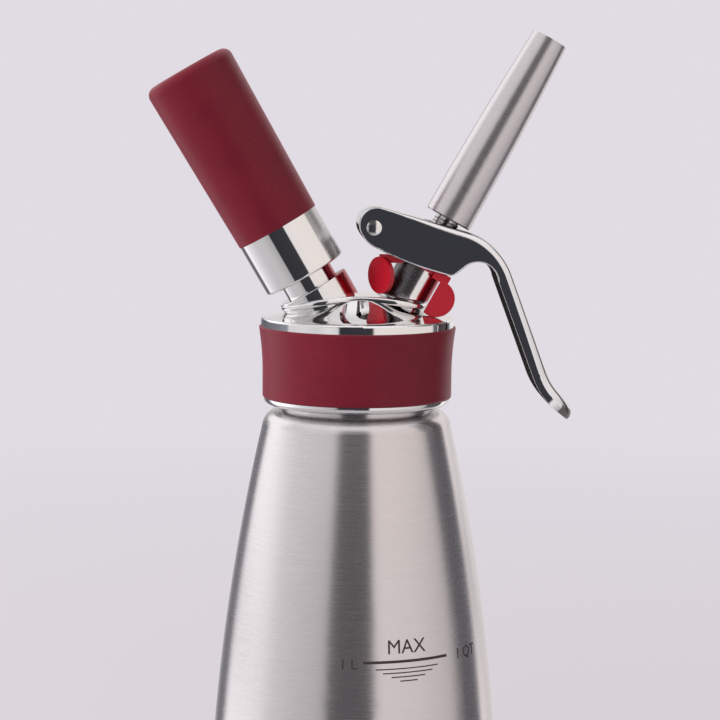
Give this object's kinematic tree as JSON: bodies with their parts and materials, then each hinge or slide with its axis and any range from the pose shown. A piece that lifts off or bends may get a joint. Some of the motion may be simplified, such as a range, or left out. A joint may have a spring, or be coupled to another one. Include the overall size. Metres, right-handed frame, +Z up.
{
  "type": "whipped cream dispenser",
  "caption": "Steel whipped cream dispenser: a bottle with a screwed head that carries a gas charger holder, a lever valve and a decorating tip.",
  "frame": {"origin": "centre of the flat face that the bottle stands on", "axes": "+Z up along the bottle; the valve and the lever handle lean to +X, the charger holder leans to -X; -Y is the side the picture was taken from"},
  "size_m": [0.16, 0.1128, 0.3406],
  "materials": {
    "brushed_steel": "circumferential brushed",
    "polished_steel": "mirror polished",
    "lever_steel": "polished",
    "tip_steel": "satin",
    "red_silicone": "satin",
    "red_plastic": "smooth",
    "charger_steel": "satin",
    "black_rubber": "matt",
    "grey_silicone": "matt",
    "spring_steel": "drawn wire",
    "brass": "turned",
    "bush_plastic": "turned"
  },
  "bodies": {
    "bottle": {"bottle": "brushed_steel"},
    "gasket": {"head_gasket": "grey_silicone"},
    "head": {"head_cap": "polished_steel", "grip_band": "red_silicone", "head_bridge": "polished_steel", "valve_clip": "red_plastic", "valve_bush": "bush_plastic", "pin_holder": "brass", "piercing_pin": "spring_steel", "charger_seal": "black_rubber", "check_valve": "black_rubber", "piston_spring": "spring_steel"},
    "charger": {"gas_charger": "charger_steel"},
    "holder": {"charger_holder": "polished_steel", "holder_sleeve": "red_silicone"},
    "lever": {"lever": "lever_steel", "lever_pin": "brushed_steel"},
    "piston": {"valve_piston": "polished_steel", "upper_piston_ring": "black_rubber", "lower_piston_ring": "black_rubber", "valve_seal": "black_rubber", "seal_retainer": "brass"},
    "tip": {"decorating_tip": "tip_steel"}
  },
  "joints": [
    {"name": "head_lift", "type": "slide", "parent": "bottle", "child": "gasket", "axis": [0, 0, 1], "range_m": [0, 0.006]},
    {"name": "head_turn", "type": "hinge", "parent": "gasket", "child": "head", "pos_m": [0, 0, 0.22], "axis": [0, 0, 1], "range_deg": [0, 540]},
    {"name": "charger_lift", "type": "slide", "parent": "head", "child": "charger", "axis": [-0.5045, 0, 0.8634], "range_m": [0, 0.00875]},
    {"name": "holder_turn", "type": "hinge", "parent": "charger", "child": "holder", "pos_m": [-0.0172, 0, 0.2436], "axis": [-0.5045, 0, 0.8634], "range_deg": [0, 1800]},
    {"name": "lever_press", "type": "hinge", "parent": "head", "child": "lever", "pos_m": [0.00535, 0, 0.2667], "axis": [0, 1, 0], "range_deg": [0, 9]},
    {"name": "piston_slide", "type": "slide", "parent": "head", "child": "piston", "axis": [-0.4848, 0, -0.8746], "range_m": [0, 0.00243], "stiffness_N_per_m": 2500, "springref_m": -0.005, "deforming": ["piston_spring"]},
    {"name": "tip_turn", "type": "hinge", "parent": "piston", "child": "tip", "pos_m": [0.0199, 0, 0.2442], "axis": [0.4848, 0, 0.8746], "range_deg": [0, 720]}
  ],
  "couplings": [
    {"joint": "head_turn", "follows": "head_lift", "rad_per_m": 1570.8},
    {"joint": "holder_turn", "follows": "charger_lift", "rad_per_m": 3590.3},
    {"joint": "lever_press", "follows": "piston_slide", "rad_per_m": 64.5}
  ]
}
